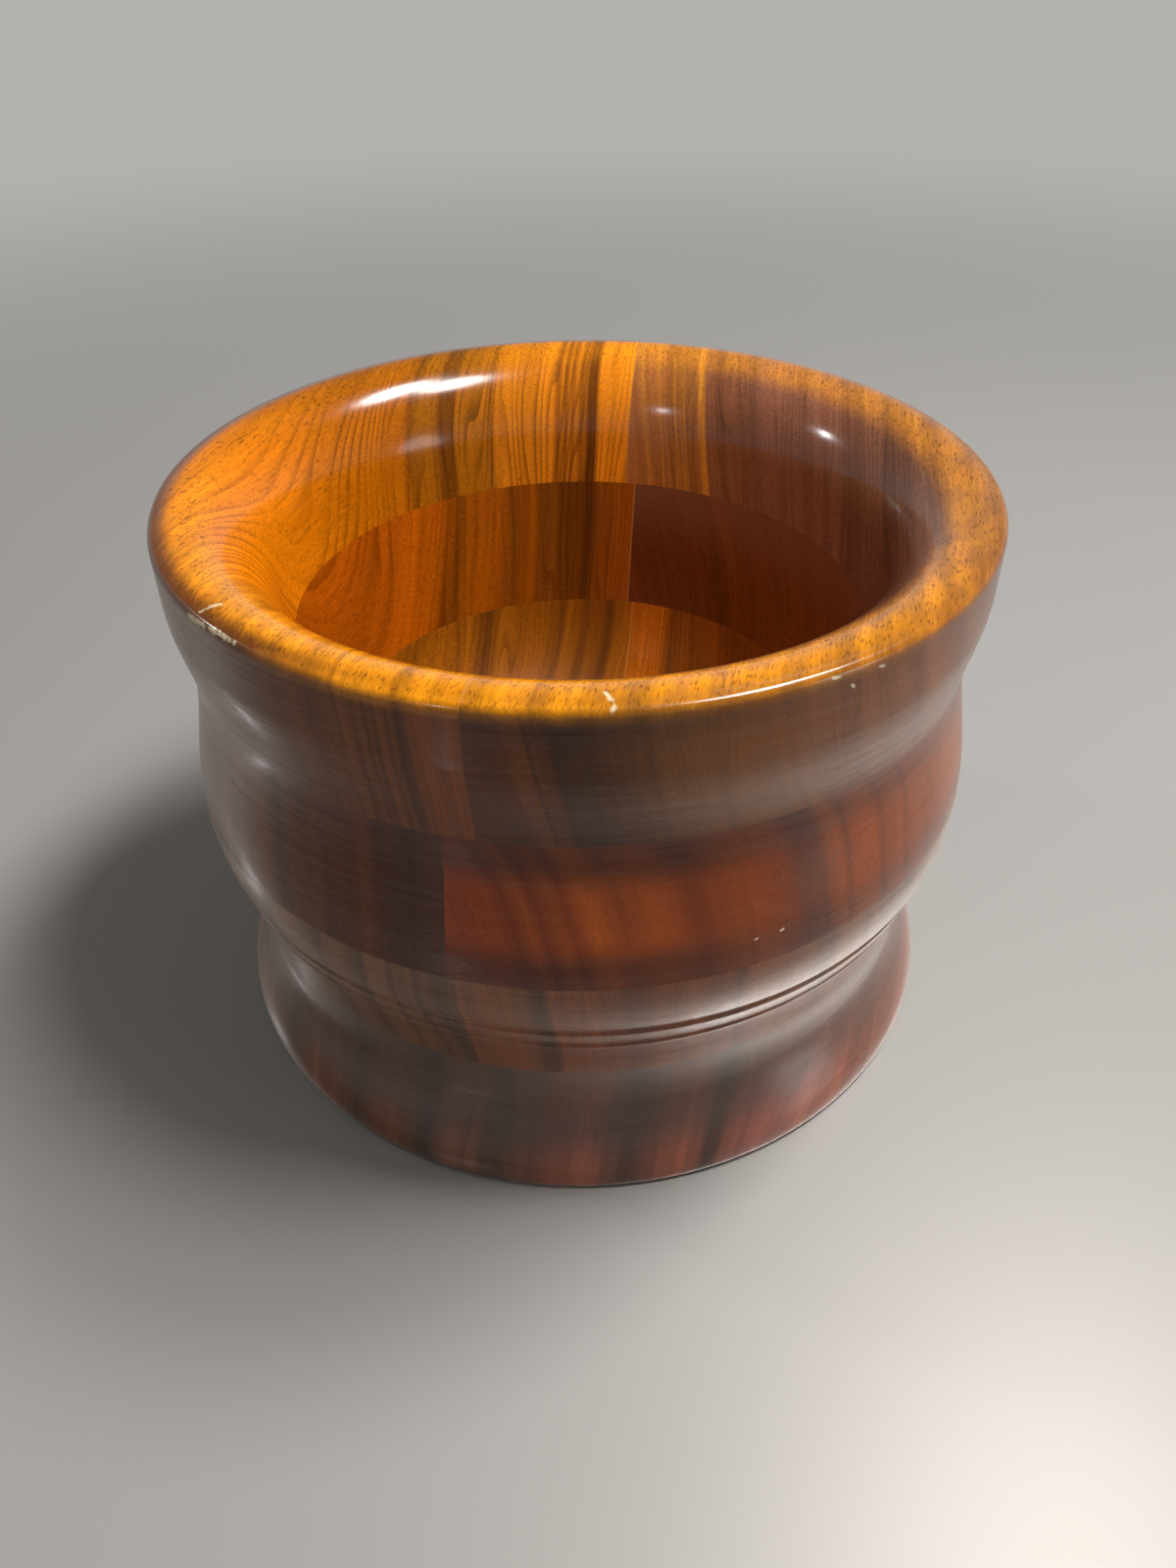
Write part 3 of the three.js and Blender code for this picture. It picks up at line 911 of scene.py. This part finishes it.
@dataclass
class Studio:
    """Pale floor, soft lamps and a camera at the photograph's viewing angle. The camera's place is in mm."""

    floor_colour: str = "#a8a5a1"
    room_colour: str = "#f2f1ee"
    room_strength: float = 0.5
    floor_reach: float = 6.0
    # Distances in m over which the floor fades to the room, and upward slopes over which the room dims
    floor_fade: tuple[float, float] = (0.2, 1.1)
    room_fade: tuple[float, float] = (0.1, 0.6)
    glare_tint: str = "#fff5ea"
    world_strength: float = 0.125
    lens: float = 27.524
    sensor_width: float = 36.0
    clip_start: float = 0.01
    camera_place: tuple[float, float, float] = (64.17, -229.83, 231.47)
    camera_right: tuple[float, float, float] = (0.9665, 0.2565, -0.0083)
    camera_up: tuple[float, float, float] = (-0.1524, 0.5999, 0.7854)
    aim_height: float = 0.09
    lamps: tuple[Lamp, ...] = (
        Lamp("ceiling_lamp_right", 85, 67, 0.85, 0.22, 4.7),
        Lamp("ceiling_lamp_behind", 52, 62, 0.85, 0.22, 4.7),
        Lamp("right_window", 100, 8, 1.5, 0.5, 2.6),
        Lamp("left_lamp", -86, 31, 1.2, 0.08, 1.2),
        Lamp("room_lamp", -160, 30, 1.5, 0.1, 0.9),
    )

    def build(self) -> None:
        """Sets up the floor, the world, the lamps and the camera."""
        self.lay_floor()
        self.light()
        self.set_camera()

    def lay_floor(self) -> None:
        """Lays a large satin floor under the bowl."""
        sheet = bmesh.new()
        bmesh.ops.create_grid(sheet, x_segments=1, y_segments=1, size=self.floor_reach)
        mesh = bpy.data.meshes.new("studio_floor")
        sheet.to_mesh(mesh)
        sheet.free()
        floor = add_object("studio_floor", mesh)
        material = bpy.data.materials.new("satin_pale_laminate")
        tree = empty_tree(material)
        # The lamps' glare on it shows in the lacquer; seen directly it is weaker, so that it does not clip to white
        mirrored = add_node(tree, "LightPath", out="Is Glossy Ray")
        glare = {"Roughness": (0.4, 0.48), "IOR": (2.3, 2.9), "Specular IOR Level": (0.21, 1.0), "Coat Weight": (0, 1)}
        finish: dict[str, Any] = {
            "Base Color": linear(self.floor_colour), "Specular Tint": linear(self.glare_tint), "Coat Roughness": 0.15}
        for socket, (plain, in_lacquer) in glare.items():
            finish[socket] = add_node(tree, "MapRange", {"Value": mirrored, "To Min": plain, "To Max": in_lacquer})
        satin = add_node(tree, "BsdfPrincipled", finish)
        # Far off, where the lamps do not reach, it is seen as pale as the room, so that no horizon shows
        place = add_node(tree, "TexCoord", out="Object")
        away = add_node(tree, "VectorMath", {0: place}, out="Value", operation="LENGTH")
        away = add_node(tree, "MapRange", {
            "Value": away, "From Min": self.floor_fade[0], "From Max": self.floor_fade[1]}, **SMOOTH)
        away = add_node(tree, "Math", {0: away, 1: self.seen_share(tree)}, operation="MULTIPLY")
        pale = add_node(tree, "Emission", {"Color": linear(self.room_colour), "Strength": self.room_strength})
        shader = add_node(tree, "MixShader", {0: away, 1: satin, 2: pale})
        add_node(tree, "OutputMaterial", {"Surface": shader})
        mesh.materials.append(material)

    def seen_share(self, tree: Tree) -> Socket:
        """Gives 1 for rays that show a thing directly, mirrored or through glass, and 0 for those that light it.

        Args:
            tree: Node tree of the floor's material or of the world.

        Returns:
            Sum of the camera, glossy and transmission rays.
        """
        path = add_node(tree, "LightPath").node.outputs
        share = add_node(tree, "Math", {0: path["Is Camera Ray"], 1: path["Is Glossy Ray"]}, operation="ADD")
        return add_node(tree, "Math", {0: share, 1: path["Is Transmission Ray"]}, operation="ADD", use_clamp=True)

    def light(self) -> None:
        """Hangs the lamps and gives the world a soft even light."""
        world = bpy.data.worlds.new("studio_world")
        tree = empty_tree(world)
        # Seen directly, mirrored or through, the room is pale at eye level and dim above; it lights evenly and softly
        seen = self.seen_share(tree)
        towards = add_node(tree, "TexCoord", out="Generated")
        height = add_node(tree, "SeparateXYZ", {0: towards}, out="Z")
        room = add_node(tree, "MapRange", {
            "Value": height, "From Min": self.room_fade[0], "From Max": self.room_fade[1],
            "To Min": self.room_strength, "To Max": self.world_strength}, **SMOOTH)
        strength = add_node(tree, "MapRange", {"Value": seen, "To Min": self.world_strength, "To Max": room})
        shader = add_node(tree, "Background", {"Color": linear(self.room_colour), "Strength": strength})
        add_node(tree, "OutputWorld", {"Surface": shader})
        bpy.context.scene.world = world
        aim = Vector((0, 0, self.aim_height))
        for lamp in self.lamps:
            light = bpy.data.lights.new(lamp.name, "AREA")
            light.shape = "DISK"
            light.size = lamp.size
            light.energy = lamp.power
            turn, rise = math.radians(lamp.azimuth), math.radians(lamp.elevation)
            away = Vector((math.sin(turn) * math.cos(rise), math.cos(turn) * math.cos(rise), math.sin(rise)))
            holder = add_object(lamp.name, light)
            holder.location = aim + away * lamp.distance
            holder.rotation_euler = away.to_track_quat("Z", "Y").to_euler()

    def set_camera(self) -> None:
        """Puts the camera where the photograph was taken from."""
        lens = bpy.data.cameras.new("photo_camera")
        lens.lens = self.lens
        lens.sensor_width = self.sensor_width
        lens.clip_start = self.clip_start
        camera = add_object("photo_camera", lens)
        right, up = Vector(self.camera_right).normalized(), Vector(self.camera_up).normalized()
        back = right.cross(up).normalized()
        turned = Matrix((right, back.cross(right), back)).transposed().to_4x4()
        camera.matrix_world = Matrix.Translation(Vector(self.camera_place) * MM) @ turned
        bpy.context.scene.camera = camera
        bpy.context.scene.view_settings.view_transform = "Standard"


def main() -> None:
    """Builds the bowl's courses from the table up, then the studio."""
    logging.basicConfig(level=logging.INFO, format="%(message)s")
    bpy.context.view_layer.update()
    form = TurnedForm()
    courses = (
        Course("foot", 0.0, form.waist_base, FOOT_JOINT, {Side.LEFT: FOOT_LEFT_WOOD, Side.RIGHT: FOOT_RIGHT_WOOD}),
        Course("waist", form.waist_base, form.belly_base, WAIST_JOINT,
               {Side.LEFT: WAIST_LEFT_WOOD, Side.RIGHT: WAIST_RIGHT_WOOD}),
        Course("belly", form.belly_base, form.rim_base, BELLY_JOINT,
               {Side.LEFT: BELLY_LEFT_WOOD, Side.RIGHT: BELLY_RIGHT_WOOD}),
        Course("rim", form.rim_base, form.top, RIM_JOINT, {Side.LEFT: RIM_LEFT_WOOD, Side.RIGHT: RIM_RIGHT_WOOD}),
    )
    for course in courses:
        course.build(form)
        course.dress()
    Studio().build()


if __name__ == "__main__":
    main()
